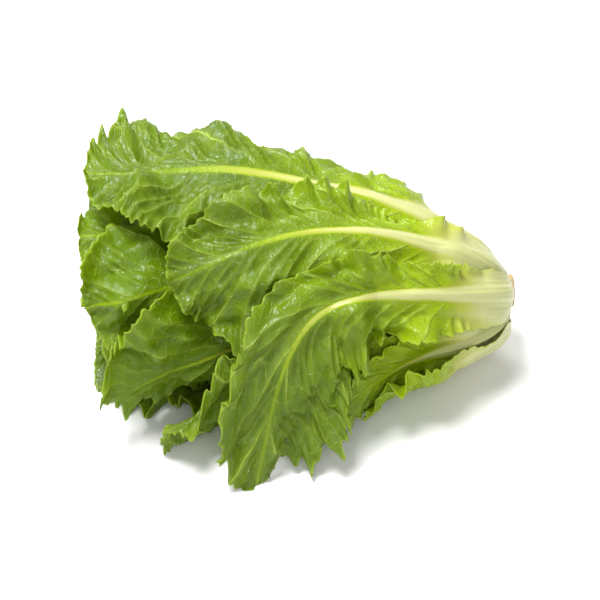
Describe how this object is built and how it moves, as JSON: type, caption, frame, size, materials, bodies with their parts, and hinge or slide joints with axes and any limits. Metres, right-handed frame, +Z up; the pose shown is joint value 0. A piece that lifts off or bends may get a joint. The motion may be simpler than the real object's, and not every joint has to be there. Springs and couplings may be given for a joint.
{
  "type": "head of escarole",
  "caption": "Loose head of escarole lying on its side: toothed, ruffled green leaves with broad pale midribs, round a short cut stem.",
  "frame": {"origin": "centre of the head's footprint, on the surface it lies on", "axes": "+X towards the cut end of the stem, +Z up; the front leaf that flops to the surface lies at -Y"},
  "size_m": [0.3016, 0.2826, 0.1466],
  "materials": {
    "cut_stem": "pale cut stem, browned at the cut",
    "outer_green": "glossy green leaf with a cream midrib",
    "middle_green": "glossy light green leaf with a cream midrib",
    "heart_yellow": "pale yellow-green heart leaf"
  },
  "bodies": {
    "root": {"stem": "cut_stem", "outer_leaf_01": "outer_green", "outer_leaf_02": "outer_green", "outer_leaf_03": "outer_green", "outer_leaf_04": "outer_green", "outer_leaf_05": "outer_green", "outer_leaf_06": "outer_green", "outer_leaf_07": "outer_green", "outer_leaf_08": "outer_green", "outer_leaf_09": "outer_green", "middle_leaf_01": "middle_green", "middle_leaf_02": "middle_green", "middle_leaf_03": "middle_green", "middle_leaf_04": "middle_green", "middle_leaf_05": "middle_green", "middle_leaf_06": "middle_green", "inner_leaf_01": "middle_green", "inner_leaf_02": "middle_green", "inner_leaf_03": "middle_green", "inner_leaf_04": "middle_green", "heart_leaf_01": "heart_yellow", "heart_leaf_02": "heart_yellow", "heart_leaf_03": "heart_yellow"}
  },
  "joints": []
}
